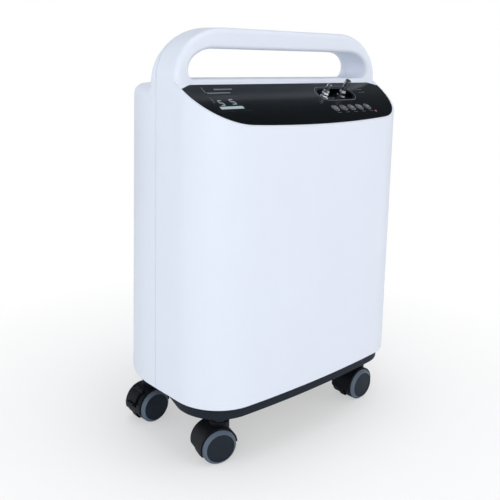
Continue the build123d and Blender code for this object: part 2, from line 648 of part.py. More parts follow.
def switch_housing():
    housing = (port_box(SWITCH, 6.5, 10, 94, POCKET_Y)
               + port_box(SWITCH, 8.0, 11.6, POCKET_Y, POCKET_Y + 2.0))
    housing = housing - port_box(SWITCH, 5.0, 9.0, 101.6, 120)
    return housing - cyl((SWITCH[0] - 6.0, ROCKER_Y, SWITCH[1]), 1.05, 12.0, "x")


def power_rocker():
    x, z = SWITCH
    rocker = prism_yz([(ROCKER_Y + 5.4, z - 8.0), (ROCKER_Y + 3.0, z), (ROCKER_Y + 5.4, z + 8.0),
                       (ROCKER_Y - 4.0, z + 6.0), (ROCKER_Y - 4.0, z - 6.0)], x - 4.85, x + 4.85)
    rocker = rocker + cyl((x - 5.9, ROCKER_Y, z), 1.0, 11.8, "x")
    return rocker.rotate(Axis((0, ROCKER_Y, z), (1, 0, 0)), ROCKER_TILT)


save("power_inlet", power_inlet())
save("switch_housing", switch_housing())
save("power_rocker", power_rocker())
save("breaker_body",
     breaker_cyl(4.5, 86, POCKET_Y - 86) + breaker_cyl(7.0, POCKET_Y, 3.0)
     - breaker_cyl(2.6, 99, 30))
save("breaker_button", breaker_cyl(2.54, 102.5, POCKET_Y + 5.5 - 102.5))

# ---------------------------------------------------------------- compressor
SHAFT_Y, SHAFT_Z = -35.0, 165.0
HEAD_X = 78.0                # axis of the cylinder heads, either side
HEAD_TOP = SHAFT_Z + 72
MOTOR_R = 46.0


def on_shaft(x, radius, length, dy=0.0):
    """Cylinder along the shaft line from x."""
    return cyl((x, SHAFT_Y + dy, SHAFT_Z), radius, length, "x")


def compressor_housing():
    housing = on_shaft(-52, MOTOR_R, 104)
    housing = housing + box(-58, 58, SHAFT_Y - 46, SHAFT_Y + 46, 105, 111)
    housing = housing + box(-50, 50, SHAFT_Y - 22, SHAFT_Y + 22, 110, 130)
    for side in (-1, 1):
        housing = (housing + on_shaft(52 if side > 0 else -104, 30.0, 52)
                   + cyl((HEAD_X * side, SHAFT_Y, SHAFT_Z), 24.0, 31))
    housing = housing - on_shaft(-46, 38.0, 92)
    for side in (-1, 1):
        housing = housing - on_shaft(56 if side > 0 else -100, 25.0, 44)
    housing = housing - on_shaft(-60, 6.05, 120)
    for side in (1, -1):
        housing = housing - cyl((side * HEAD_X, SHAFT_Y, SHAFT_Z), 18.5, 60)
    return housing


def compressor_head(x):
    """Finned cylinder with a grooved square head."""
    head = (cyl((x, SHAFT_Y, SHAFT_Z + 31.02), 24.0, 30)
            - cyl((x, SHAFT_Y, SHAFT_Z + 29), 18.5, 26))
    for i in range(5):
        z = SHAFT_Z + 35 + i * 5
        head = head + (cyl((x, SHAFT_Y, z), 25.6, 2) - cyl((x, SHAFT_Y, z - 1), 20, 4))
    head = head + box(x - 24, x + 24, SHAFT_Y - 24, SHAFT_Y + 24, SHAFT_Z + 60.5, HEAD_TOP)
    for i in range(5):
        y = SHAFT_Y - 20 + i * 9
        head = head - box(x - 30, x + 30, y, y + 4, SHAFT_Z + 66, SHAFT_Z + 80)
    return head


MOUNT_PROFILE = [
    (0, FLOOR_IN), (12, FLOOR_IN), (12, 79), (8, 84), (7.5, 90), (8, 96), (12, 101),
    (12, 105), (0, 105)]

save("compressor_housing", compressor_housing())
save("compressor_heads", *[compressor_head(HEAD_X * side) for side in (-1, 1)])
# shaft, rotor and an eccentric at either end
save("compressor_shaft", on_shaft(-97, 6.0, 194) + on_shaft(-34, 34.0, 68)
     + on_shaft(-86, 14.0, 16, 3) + on_shaft(70, 14.0, 16, -3))
save("compressor_mounts", *[Pos(x, y, 0) * turned(MOUNT_PROFILE)
                            for x in (-48.0, 48.0) for y in (SHAFT_Y - 36, SHAFT_Y + 36)])

# ---------------------------------------------------------------- shelf, fan and board
SHELF = 358.0                # lower face of the shelf
SHELF_HALF = 142
SHEET = 1.6                  # sheet and board thickness
FAN_Y = SHAFT_Y              # fan axis, at x = 0
FAN_LOW = SHELF - 25         # lower face of the fan frame


def equipment_shelf():
    """Sheet shelf on two side legs with inturned feet."""
    shelf = box(-SHELF_HALF, SHELF_HALF, -72, 30, SHELF, SHELF + SHEET)
    for side in (-1, 1):
        leg = sorted((side * (SHELF_HALF - SHEET), side * SHELF_HALF))
        foot = sorted((side * (SHELF_HALF - SHEET - 12), side * SHELF_HALF))
        shelf = (shelf + box(*leg, -24, 16, FLOOR_IN, SHELF + SHEET)
                 + box(*foot, -24, 16, FLOOR_IN, FLOOR_IN + SHEET))
    return shelf - cyl((0, FAN_Y, SHELF - 1), 35.0, 4)


def fan_cyl(z, radius, length):
    return cyl((0, FAN_Y, z), radius, length)


def fan_frame():
    """Square frame with a hub on crossed bars and a pin for the rotor."""
    frame = (Pos(0, FAN_Y, FAN_LOW) * extrude(RectangleRounded(90, 90, 5), amount=25)
             - fan_cyl(FAN_LOW - 1, 43.0, 30))
    bars = (box(-44, 44, FAN_Y - 2, FAN_Y + 2, FAN_LOW, FAN_LOW + 3)
            + box(-2, 2, FAN_Y - 44, FAN_Y + 44, FAN_LOW, FAN_LOW + 3))
    hub_bar = fan_cyl(FAN_LOW, 14.0, 3) + bars
    return frame + hub_bar + fan_cyl(FAN_LOW, 3.0, 16)


def fan_rotor():
    blades = 7
    rotor = fan_cyl(SHELF - 21, 17.0, 18) - fan_cyl(SHELF - 22, 3.05, 15)
    for i in range(blades):
        blade = Pos(28, 0, SHELF - 12) * Rot(32, 0, 0) * Box(26, 22, 1.8)
        rotor = rotor + Pos(0, FAN_Y, 0) * (Rot(0, 0, i * 360 / blades) * blade)
    return rotor & fan_cyl(SHELF - 21, 41.5, 18.5)


# blocks on the main board: x0, x1, y0, y1, height
BOARD_BLOCKS = [(-60, -30, -50, -20, 22), (-10, 20, -55, -35, 12), (30, 60, -50, 0, 16),
                (-50, -20, -5, 10, 10)]


def main_board():
    """Board on four posts, with its blocks."""
    low = SHELF + 9.6
    top = low + SHEET
    board = box(-70, 70, -66, 20, low, top)
    for x, y in ((-64, -60), (64, -60), (-64, 14), (64, 14)):
        board = board + cyl((x, y, SHELF + 1.62), 2.5, 8)
    for x0, x1, y0, y1, height in BOARD_BLOCKS:
        board = board + box(x0, x1, y0, y1, top, top + height)
    return board


save("equipment_shelf", equipment_shelf())
save("fan_frame", fan_frame())
save("fan_rotor", fan_rotor())
save("main_board", main_board())

# ---------------------------------------------------------------- vessels and valves
BED_X, BED_Y = SIEVE_BED
BED_TOP = 340
SPIGOT = 6                   # height of the spigot on each vessel
VALVE_LOW = 296.02
VALVE_TOP = VALVE_LOW + 26
VALVE_FRONT, VALVE_BACK = 30, 62
MUFFLER_Y, MUFFLER_TOP = 92, 300


def vessel(x, y, radius, z0, z1):
    """Upright canister with a raised band near each end and a spigot on top."""
    h, band = z1 - z0, radius + 2
    return Pos(x, y, z0) * turned([
        (0, 0), (radius - 4, 0), (band, 2), (band, 16), (radius, 18), (radius, h - 18),
        (band, h - 16), (band, h - 2), (radius - 4, h), (8, h), (8, h + SPIGOT), (0, h + SPIGOT)])


save("sieve_bed_a", vessel(-BED_X, BED_Y, 32, 96, BED_TOP))
save("sieve_bed_b", vessel(BED_X, BED_Y, 32, 96, BED_TOP))
save("product_tank", vessel(0, 45, 26, FLOOR_IN, 290))
save("valve_block", box(-58, 58, VALVE_FRONT, VALVE_BACK, VALVE_LOW, VALVE_TOP)
     + cyl((-34, 46, VALVE_TOP), 10, 22) + cyl((34, 46, VALVE_TOP), 10, 22))
save("exhaust_muffler", Pos(0, MUFFLER_Y, 0) * turned([
    (0, 205), (10, 205), (14, 209), (14, 282), (10, 286), (5, 286), (5, MUFFLER_TOP),
    (0, MUFFLER_TOP)]))

# ---------------------------------------------------------------- cooling coil and tubes
COIL_ROWS, COIL_PITCH, COIL_HALF = 5, 17.0, 34.0
COIL_END = COIL_HALF + 30    # both tube ends, either side
COIL_Z = SHELF - 34.0
COIL_Y0 = SHAFT_Y - (COIL_ROWS - 1) * COIL_PITCH / 2
COIL_Y1 = COIL_Y0 + (COIL_ROWS - 1) * COIL_PITCH
COIL_R = 3.5
GAP = 0.02                   # clearance at each tube end


def cooling_coil():
    """Flat serpentine of tube under the fan."""
    runs = [Line((-COIL_END, COIL_Y0, COIL_Z), (COIL_HALF, COIL_Y0, COIL_Z))]
    for i in range(COIL_ROWS - 1):
        y = COIL_Y0 + i * COIL_PITCH
        y_next = y + COIL_PITCH
        side = 1 if i % 2 == 0 else -1
        x = side * COIL_HALF
        x_end = -x if i < COIL_ROWS - 2 else COIL_END
        bend = (side * (COIL_HALF + COIL_PITCH / 2), y + COIL_PITCH / 2, COIL_Z)
        runs.append(ThreePointArc((x, y, COIL_Z), bend, (x, y_next, COIL_Z)))
        runs.append(Line((x, y_next, COIL_Z), (x_end, y_next, COIL_Z)))
    start = Plane(origin=(-COIL_END, COIL_Y0, COIL_Z), z_dir=(1, 0, 0))
    return sweep(start * Circle(COIL_R), path=Curve() + runs)


def tube(points, radius, bend):
    """Round rod along a polyline with rounded corners."""
    path = FilletPolyline(*points, radius=bend)
    heading = (Vector(*points[1]) - Vector(*points[0])).normalized()
    return biggest(sweep(Plane(origin=points[0], z_dir=heading) * Circle(radius), path=path))


def below_slope(depth):
    """Point at a depth under the slope on the axis of the manifold stub."""
    angle = math.radians(SLOPE_ANGLE)
    return (CUP[0] + STUB_X, CUP[1] + math.sin(angle) * depth,
            slope_height(CUP[1]) - math.cos(angle) * depth)


def bed_tube(side):
    """From the top of a sieve bed over to the valve block."""
    x_bed, x_valve, z_run = side * BED_X, side * 47, 366
    return tube([(x_bed, BED_Y, BED_TOP + SPIGOT + GAP), (x_bed, BED_Y, z_run),
                 (x_valve, BED_Y, z_run), (x_valve, BED_Y, VALVE_TOP + GAP)], 3.0, 9.0)


def air_tubes():
    head_z = HEAD_TOP + GAP
    # left head to the coil, joined by the tube from the right head
    feed = tube([(-HEAD_X, SHAFT_Y, head_z), (-HEAD_X, SHAFT_Y, 300), (-98, COIL_Y0, 312),
                 (-98, COIL_Y0, COIL_Z), (-COIL_END - GAP, COIL_Y0, COIL_Z)], COIL_R, 6.0)
    cross = tube([(HEAD_X, SHAFT_Y, head_z), (HEAD_X, SHAFT_Y, 262),
                  (-HEAD_X + 1, SHAFT_Y, 262)], COIL_R, 9.0)
    # coil to the front of the valve block
    to_valves = tube([(COIL_END + GAP, COIL_Y1, COIL_Z), (78, COIL_Y1, COIL_Z), (78, 15, 309),
                      (45, 15, 309), (45, VALVE_FRONT - GAP, 309)], COIL_R, 5.0)
    # outlet manifold to the top of the valve block
    stub = below_slope(-STUB_LOW + GAP)
    outlet = tube([stub, below_slope(-STUB_LOW + GAP + 16), (stub[0], 46, 411), (15, 46, 411),
                   (15, 46, VALVE_TOP + GAP)], 3.0, 7.0)
    # muffler to the back of the valve block
    exhaust = tube([(0, MUFFLER_Y, MUFFLER_TOP + GAP), (0, MUFFLER_Y, 306),
                    (0, VALVE_BACK + GAP, 306)], 3.0, 5.0)
    # silencer to the top of the compressor
    intake = tube([(0, SILENCER_Y - GAP, 330), (0, 11, 330), (0, 11, 232), (0, SHAFT_Y, 232),
                   (0, SHAFT_Y, SHAFT_Z + MOTOR_R + GAP)], 4.5, 9.0)
    return [feed + cross, to_valves, bed_tube(-1), bed_tube(1), outlet, exhaust, intake]


save("cooling_coil", cooling_coil())
save("air_tubes", *air_tubes())
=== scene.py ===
"""Finish of a floor-standing cabinet on four twin-wheel casters.

The cabinet stands on the floor plane Z = 0, with its front towards -Y and X across. Its control
panel is a slope that rises towards +Y. The CAD pieces get procedural materials, and printed
marks, key icons and wheel rings are added. Product sizes are in mm; the scene, the shaders and
the lights are in metres.
"""

import bmesh
import bpy
import json
import math
from mathutils import Matrix, Vector


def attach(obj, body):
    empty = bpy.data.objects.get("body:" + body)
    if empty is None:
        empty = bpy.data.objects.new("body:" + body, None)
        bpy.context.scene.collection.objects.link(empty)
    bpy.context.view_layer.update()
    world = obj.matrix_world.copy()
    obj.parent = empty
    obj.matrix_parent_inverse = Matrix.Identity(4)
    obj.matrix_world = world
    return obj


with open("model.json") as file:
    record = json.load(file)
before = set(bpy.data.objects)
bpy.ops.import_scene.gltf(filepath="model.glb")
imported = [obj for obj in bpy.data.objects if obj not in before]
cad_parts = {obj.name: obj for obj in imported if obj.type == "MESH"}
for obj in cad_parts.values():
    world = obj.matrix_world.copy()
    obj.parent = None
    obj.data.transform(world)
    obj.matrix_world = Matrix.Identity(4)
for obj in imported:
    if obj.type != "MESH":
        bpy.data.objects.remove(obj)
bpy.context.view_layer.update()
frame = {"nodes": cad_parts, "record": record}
scene = bpy.context.scene
MM = 0.001

# ---------------------------------------------------------------- dimensions shared with the CAD (mm)
SLOPE = 0.627                              # panel rise per unit of Y
SLOPE_ANGLE = math.atan(SLOPE)
SLOPE_NORMAL = Vector((0, -math.sin(SLOPE_ANGLE), math.cos(SLOPE_ANGLE)))
SLOPE_Y, SLOPE_Z = -124.0, 403.5           # a reference line across the panel

WHEEL_R = 22.5
WHEEL_HALF = 21.0                          # caster centre to the outer face of a wheel
TRAIL = 7.0                                # swivel axis to wheel axle
# swivel axis x, y, and turn in degrees
CASTERS = {
    "fl": (-131.5, -79.0, 164.0),
    "fr": (131.5, -79.0, 180.0),
    "rl": (-136.5, 59.0, 180.0),
    "rr": (136.5, 59.0, 180.0),
}

KEY_X, KEY_PITCH, KEY_Y = 39.0, 15.5, -92.5    # first key, spacing and row
LCD_X, LCD_Y = -122.0, -77.0
RECESS_X, RECESS_Y = 66.0, -67.5


def slope_point(x, y):
    return Vector((x, y, SLOPE_Z + SLOPE * (y - SLOPE_Y)))


def slope_matrix(x, y, lift):
    """Frame on the panel, metres: local X across, Y up the slope, Z outwards."""
    origin = slope_point(x, y) + SLOPE_NORMAL * lift
    return Matrix.Translation(origin * MM) @ Matrix.Rotation(SLOPE_ANGLE, 4, "X")


# ---------------------------------------------------------------- shader nodes
class NodeBuilder:
    """Adds nodes to one tree. An input may be given as a value or as a socket to link."""

    def __init__(self, tree):
        self.tree = tree
        self.x = -1400

    def fill(self, node, inputs):
        for key, value in inputs.items():
            socket = node.inputs[key]
            if isinstance(value, bpy.types.NodeSocket):
                self.tree.links.new(value, socket)
            elif socket.type == "RGBA":
                socket.default_value = (*value, 1.0)
            else:
                socket.default_value = value

    def node(self, kind, inputs=None, **props):
        node = self.tree.nodes.new(kind)
        self.x += 40
        node.location = (self.x, 0)
        for key, value in props.items():
            setattr(node, key, value)
        self.fill(node, inputs or {})
        return node

    def object_coords(self):
        return self.node("ShaderNodeTexCoord").outputs["Object"]

    def noise(self, coords, scale, detail=4.0, rough=0.55):
        return self.node("ShaderNodeTexNoise", {
            "Vector": coords, "Scale": scale, "Detail": detail, "Roughness": rough,
        }).outputs["Fac"]

    def span(self, value, from_min, from_max, to_min, to_max):
        """Clamped linear map from one range to another."""
        return self.node("ShaderNodeMapRange", {
            "Value": value, "From Min": from_min, "From Max": from_max,
            "To Min": to_min, "To Max": to_max,
        }, clamp=True).outputs["Result"]

    def math(self, operation, a, b):
        return self.node("ShaderNodeMath", {0: a, 1: b}, operation=operation).outputs[0]

    def blend(self, a, b, share):
        """Sum of two values: a times share[0] plus b times share[1]."""
        first = self.math("MULTIPLY", a, share[0])
        return self.math("ADD", first, self.math("MULTIPLY", b, share[1]))

    def mix(self, factor, a, b):
        return self.node("ShaderNodeMix", {0: factor, 6: a, 7: b}, data_type="RGBA").outputs[2]

    def bump(self, height, distance, normal):
        return self.node("ShaderNodeBump", {
            "Strength": 1.0, "Distance": distance, "Height": height, "Normal": normal,
        }).outputs[0]

    def mix_shader(self, factor, a, b):
        return self.node("ShaderNodeMixShader", {0: factor, 1: a, 2: b}).outputs[0]


# the blend helper's docstring in short: result = a * share[0] + b * share[1]
def blank_tree(owner):
    owner.use_nodes = True
    owner.node_tree.nodes.clear()
    return NodeBuilder(owner.node_tree)


def scaled(color, factor):
    return tuple(min(1.0, channel * factor) for channel in color)


def material(name, base, rough, grain_depth, wear, metallic=0.0, specular=0.5, coat=0.0,
             coat_rough=0.08, drift=0.05, grain=900.0, rough_var=0.08, edge=0.0006, dust=0.0,
             brushed=None, wave=0.0, transmission=0.0, emission=None, emission_strength=0.0):
    """Principled material with drifting colour, worn edges and fine grain.

    drift: colour variation; grain, grain_depth: scale and height of the fine bump;
    edge: shaded edge radius; wear: (brightness, amount) at edges; dust: amount on upward faces;
    brushed: coordinate scale of brush lines, which replace the grain; wave: broad bump height.
    """
    mat = bpy.data.materials.new(name)
    nodes = blank_tree(mat)
    coords = nodes.object_coords()
    broad = nodes.noise(coords, scale=9.0, detail=3.0)
    medium = nodes.noise(coords, scale=70.0, detail=5.0, rough=0.6)

    # soft colour drift over the whole piece, and a little speckle
    tone = nodes.span(nodes.blend(broad, medium, (0.7, 0.3)), 0.3, 0.7, 0.0, 1.0)
    color = nodes.mix(tone, scaled(base, 1 - drift), scaled(base, 1 + drift))

    # rounded and worn edges
    bevel = nodes.node("ShaderNodeBevel", {"Radius": edge}, samples=4).outputs[0]
    normal = nodes.node("ShaderNodeNewGeometry").outputs["Normal"]
    facing = nodes.node("ShaderNodeVectorMath", {0: bevel, 1: normal}, operation="DOT_PRODUCT")
    lip = nodes.span(facing.outputs["Value"], 0.995, 0.80, 0.0, 1.0)
    wear_tone, wear_amount = wear
    patches = nodes.span(medium, 0.35, 0.7, wear_amount * 0.4, wear_amount)
    color = nodes.mix(nodes.math("MULTIPLY", lip, patches), color, scaled(base, wear_tone))

    if dust:
        upward = nodes.node("ShaderNodeSeparateXYZ", {0: normal}).outputs["Z"]
        cover = nodes.span(upward, 0.2, 1.0, 0.0, dust)
        clumps = nodes.noise(coords, scale=35.0, detail=6.0, rough=0.7)
        lie = nodes.math("MULTIPLY", cover, nodes.span(clumps, 0.4, 0.75, 0.2, 1.0))
        color = nodes.mix(lie, color, (0.55, 0.53, 0.50))

    uneven = nodes.math("MULTIPLY", nodes.blend(medium, broad, (0.6, 0.4)), rough_var)
    roughness = nodes.math("ADD", rough - rough_var / 2, uneven)
    if brushed:
        mapping = nodes.node("ShaderNodeMapping", {"Vector": coords, "Scale": brushed})
        texture = nodes.noise(mapping.outputs[0], scale=60.0, detail=3.0, rough=0.7)
        streaks = nodes.math("MULTIPLY", nodes.math("SUBTRACT", texture, 0.5), 0.25)
        roughness = nodes.math("ADD", roughness, streaks)
    else:
        texture = nodes.noise(coords, scale=grain, detail=3.0, rough=0.6)

    surface = nodes.bump(texture, grain_depth, bevel)
    if wave:
        surface = nodes.bump(nodes.noise(coords, scale=14.0, detail=2.0, rough=0.4), wave, surface)

    inputs = {
        "Base Color": color, "Roughness": roughness, "Normal": surface,
        "Metallic": metallic, "Specular IOR Level": specular,
        "Coat Weight": coat, "Coat Roughness": coat_rough,
        "Transmission Weight": transmission,
    }
    if emission:
        inputs.update({"Emission Color": emission, "Emission Strength": emission_strength})
    shader = nodes.node("ShaderNodeBsdfPrincipled", inputs)
    nodes.node("ShaderNodeOutputMaterial", {"Surface": shader.outputs[0]})
    mat.diffuse_color = (*base, 1.0)
    return mat


# ---------------------------------------------------------------- materials
INK = dict(rough=0.45, grain=2500.0, grain_depth=4e-6, rough_var=0.1, edge=0.0001,
           wear=(1.1, 0.2))
LCD_LIT = dict(rough=0.35, grain=1500.0, grain_depth=2e-6, edge=0.0001, wear=(1.1, 0.2),
               emission=(0.62, 0.76, 0.80))
LOOKS = {
    "shell_white": dict(
        base=(0.74, 0.785, 0.87), rough=0.36, specular=0.35, coat=0.12, coat_rough=0.25,
        drift=0.012, grain=1500.0, grain_depth=1.2e-5, rough_var=0.10, edge=0.0009,
        wear=(1.10, 0.35), wave=0.00012),
    "base_slate": dict(
        base=(0.0100, 0.0145, 0.0235), rough=0.54, specular=0.16, drift=0.10, grain=1800.0,
        grain_depth=5e-5, edge=0.0007, wear=(2.2, 0.6), dust=0.04),
    "panel_black": dict(
        base=(0.0014, 0.0025, 0.0033), rough=0.14, specular=0.24, coat=0.06, coat_rough=0.05,
        drift=0.2, grain=500.0, grain_depth=2e-6, rough_var=0.05, edge=0.0005,
        wear=(4.0, 0.5), wave=0.00001),
    "lcd_glass": dict(
        base=(0.003, 0.005, 0.007), rough=0.12, specular=0.26, coat=0.06, coat_rough=0.02,
        drift=0.2, grain=400.0, grain_depth=1e-6, rough_var=0.03, edge=0.0003, wear=(3.0, 0.4)),
    "board": dict(
        base=(0.012, 0.10, 0.045), rough=0.38, drift=0.2, grain=2500.0, grain_depth=3e-5,
        wear=(1.8, 0.6)),
    "chrome_metal": dict(
        base=(0.72, 0.73, 0.75), rough=0.12, metallic=1.0, grain=1200.0, grain_depth=3e-6,
        rough_var=0.10, edge=0.0003, wear=(1.2, 0.4)),
    "dark_metal": dict(
        base=(0.42, 0.43, 0.46), rough=0.17, metallic=1.0, drift=0.10, grain=1400.0,
        grain_depth=4e-6, edge=0.0003, wear=(1.5, 0.5)),
    "key_grey": dict(
        base=(0.075, 0.080, 0.090), rough=0.42, drift=0.12, grain=2600.0, grain_depth=2e-5,
        edge=0.0004, wear=(2.0, 0.5)),
    "lamp_red": dict(
        base=(0.26, 0.085, 0.090), rough=0.20, coat=0.5, drift=0.1, grain_depth=4e-6,
        edge=0.0003, wear=(1.25, 0.35), emission=(0.8, 0.22, 0.20), emission_strength=0.05),
    "moulding_black": dict(
        base=(0.012, 0.013, 0.015), rough=0.46, drift=0.15, grain=1500.0, grain_depth=3e-5,
        edge=0.0004, wear=(3.0, 0.5)),
    "hood_black": dict(
        base=(0.0040, 0.0056, 0.0088), rough=0.46, specular=0.18, drift=0.20, grain=1700.0,
        grain_depth=3e-5, edge=0.0005, wear=(3.5, 0.6), dust=0.02),
    "wheel_slate": dict(
        base=(0.0120, 0.0185, 0.0275), rough=0.48, specular=0.20, drift=0.18, grain=1500.0,
        grain_depth=3e-5, edge=0.0005, wear=(2.6, 0.6), dust=0.02),
    # painted highlight: pale colour of the wheel rings, standing in for light caught by the tyres'
    # chamfered edges
    "wheel_chamfer_highlight": dict(
        base=(0.100, 0.132, 0.180), rough=0.50, specular=0.4, drift=0.14, grain=1900.0,
        grain_depth=5e-5, edge=0.0005, wear=(1.5, 0.5), dust=0.05),
    "steel": dict(
        base=(0.55, 0.56, 0.57), rough=0.28, metallic=1.0, drift=0.08, grain_depth=8e-6,
        brushed=(1.0, 1.0, 8.0), edge=0.0003, wear=(1.2, 0.4)),
    "foam": dict(
        base=(0.022, 0.023, 0.025), rough=0.92, specular=0.1, drift=0.35, grain=420.0,
        grain_depth=6e-4, edge=0.0004, wear=(1.4, 0.3)),
    "die_cast": dict(
        base=(0.52, 0.53, 0.54), rough=0.48, metallic=0.9, drift=0.10, grain=800.0,
        grain_depth=8e-5, wear=(1.3, 0.5)),
    "isolator": dict(
        base=(0.018, 0.018, 0.019), rough=0.72, specular=0.3, drift=0.2, grain=1200.0,
        grain_depth=6e-5, edge=0.0005, wear=(1.6, 0.4)),
    "bed_metal": dict(
        base=(0.62, 0.63, 0.64), rough=0.34, metallic=0.95, drift=0.06, grain_depth=1e-5,
        brushed=(1.0, 1.0, 12.0), wear=(1.2, 0.4)),
    "sheet_steel": dict(
        base=(0.48, 0.49, 0.50), rough=0.36, metallic=0.95, drift=0.12, grain_depth=1e-5,
        brushed=(10.0, 1.0, 1.0), edge=0.0004, wear=(1.3, 0.5)),
    "copper_tube": dict(
        base=(0.62, 0.29, 0.17), rough=0.30, metallic=1.0, drift=0.14, grain_depth=1e-5,
        edge=0.0003, wear=(1.3, 0.4)),
    "clear_hose": dict(
        base=(0.62, 0.64, 0.65), rough=0.24, drift=0.06, transmission=0.35, grain_depth=1e-5,
        edge=0.0003, wear=(1.1, 0.3)),
    "ink": dict(base=(0.36, 0.38, 0.41), drift=0.10, **INK),
    "ink_dim": dict(base=(0.13, 0.14, 0.16), drift=0.14, **INK),
    "lcd_digit": dict(base=(0.30, 0.38, 0.39), drift=0.08, emission_strength=0.13, **LCD_LIT),
    "ink_soft": dict(base=(0.21, 0.22, 0.24), drift=0.12, **INK),
    "lcd_digit_dim": dict(base=(0.20, 0.25, 0.26), drift=0.10, emission_strength=0.08,
                          **LCD_LIT),
    "gasket": dict(
        base=(0.020, 0.021, 0.023), rough=0.65, specular=0.3, drift=0.2, grain=1500.0,
        grain_depth=3e-5, edge=0.0002, wear=(1.5, 0.3)),
}
MATERIALS = {name: material(name, **look) for name, look in LOOKS.items()}

for name, part in frame["nodes"].items():
    slot = next(s["material_slot"] for s in frame["record"]["subparts"] if s["node"] == name)
    part.data.materials.clear()
    part.data.materials.append(MATERIALS[slot])


# ---------------------------------------------------------------- mesh helpers
def mesh_object(name, bm):
    mesh = bpy.data.meshes.new(name)
    bm.to_mesh(mesh)
    bm.free()
    obj = bpy.data.objects.new(name, mesh)
    scene.collection.objects.link(obj)
    return obj


def piece(name, bm, mat, body):
    """Flat-shaded object that rides on a CAD body."""
    bmesh.ops.recalc_face_normals(bm, faces=bm.faces)
    obj = mesh_object(name, bm)
    for face in obj.data.polygons:
        face.use_smooth = False
    obj.data.materials.append(MATERIALS[mat])
    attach(obj, body)


def add_vert(bm, matrix, x, y, z):
    """Vertex from mm on a local frame."""
    return bm.verts.new(matrix @ (Vector((x, y, z)) * MM))


def lathe(bm, profile, matrix, steps=96):
    """Closed ring from a closed (radius, height) loop turned about local Z."""
    rings = []
    for i in range(steps):
        a = 2 * math.pi * i / steps
        rings.append([add_vert(bm, matrix, r * math.cos(a), r * math.sin(a), h)
                      for r, h in profile])
    for i in range(steps):
        here, after = rings[i], rings[(i + 1) % steps]
        for j in range(len(profile)):
            k = (j + 1) % len(profile)
            bm.faces.new((here[j], after[j], after[k], here[k]))


def band(bm, first, second):
    """Quads between two closed loops of vertices."""
    for i in range(len(first)):
        j = (i + 1) % len(first)
        bm.faces.new((first[i], first[j], second[j], second[i]))


def plate(bm, outline, bottom, top, matrix):
    """Flat prism from a closed outline."""
    low = [add_vert(bm, matrix, x, y, bottom) for x, y in outline]
    high = [add_vert(bm, matrix, x, y, top) for x, y in outline]
    bm.faces.new(list(reversed(low)))
    bm.faces.new(high)
    band(bm, low, high)


def bar(x0, x1, y0, y1, radius, steps=3):
    """Outline of a rectangle with rounded corners."""
    corners = [Vector(c) for c in ((x0, y0), (x1, y0), (x1, y1), (x0, y1))]
    outline = []
    for i, corner in enumerate(corners):
        back, ahead = corners[i - 1] - corner, corners[(i + 1) % 4] - corner
        reach = min(radius, back.length * 0.45, ahead.length * 0.45)
        start = corner + back.normalized() * reach
        end = corner + ahead.normalized() * reach
        for k in range(steps + 1):
            s = k / steps
            outline.append(tuple((1 - s) ** 2 * start + 2 * s * (1 - s) * corner + s ** 2 * end))
    return outline


def dashes(count, pitch, x0, x1, y0, y1, radius):
    return [bar(x0 + i * pitch, x1 + i * pitch, y0, y1, radius) for i in range(count)]


def arc(radius, start, end, steps):
    """Points on a circle, angles in degrees."""
    angles = [math.radians(start + (end - start) * i / steps) for i in range(steps + 1)]
    return [(radius * math.cos(a), radius * math.sin(a)) for a in angles]


def arc_band(inner, outer, start, end, steps=28):
    return arc(outer, start, end, steps) + arc(inner, end, start, steps)


def stadium(length, width):
    """Outline of a slot with round ends."""
    radius, half = width / 2, (length - width) / 2
    right = [(half + x, y) for x, y in arc(radius, -90, 90, 20)]
    return right + [(-half + x, y) for x, y in arc(radius, 90, 270, 20)]


# ---------------------------------------------------------------- pale ring on each wheel's outer face, a painted highlight for light caught by the tyre's chamfered edge
RIM_R = WHEEL_R - 0.06
FACE_R = WHEEL_R - 4.0
# radius, distance out from the caster centre
RING_PROFILE = [
    (RIM_R, WHEEL_HALF - 3.78),
    (FACE_R + 0.14, WHEEL_HALF + 0.04),
    (FACE_R - 0.22, WHEEL_HALF + 0.05),
    (FACE_R - 0.25, WHEEL_HALF - 0.5),
    (WHEEL_R - 1.2, WHEEL_HALF - 4.1),
    (RIM_R, WHEEL_HALF - 4.1),
]


def wheel_rings():
    for tag, (x, y, degrees) in CASTERS.items():
        turn = math.radians(degrees)
        axle = Vector((x + TRAIL * math.cos(turn), y + TRAIL * math.sin(turn), WHEEL_R))
        # wheel a is on the caster's own +Y side, which the turn brings round to face -Y
        for letter, tilt in (("a", -90), ("b", 90)):
            matrix = (Matrix.Translation(axle * MM) @ Matrix.Rotation(turn, 4, "Z")
                      @ Matrix.Rotation(math.radians(tilt), 4, "X"))
            bm = bmesh.new()
            lathe(bm, RING_PROFILE, matrix)
            # the ring's pale colour is a painted highlight on the tyre's chamfered edge
            piece(f"wheel_ring_{tag}_{letter}", bm, "wheel_chamfer_highlight", f"wheel_{tag}_{letter}")


wheel_rings()

# ---------------------------------------------------------------- marks on the control panel
PRINT_LIFT, LCD_LIFT, ICON_LIFT = 0.03, 0.06, 0.86     # above the slope
MARK_SINK = -0.02                                      # underside of a mark, below its lift
LINE_HEIGHT = 0.05                                     # printed rings, above their lift
RECESS_LINE = (70.4, 28.4)                             # outer length and width
RECESS_LINE_WIDTH = 0.6
KEY_RING_OUTER, KEY_RING_INNER, KEY_RING_STEPS = 5.75, 5.30, 64

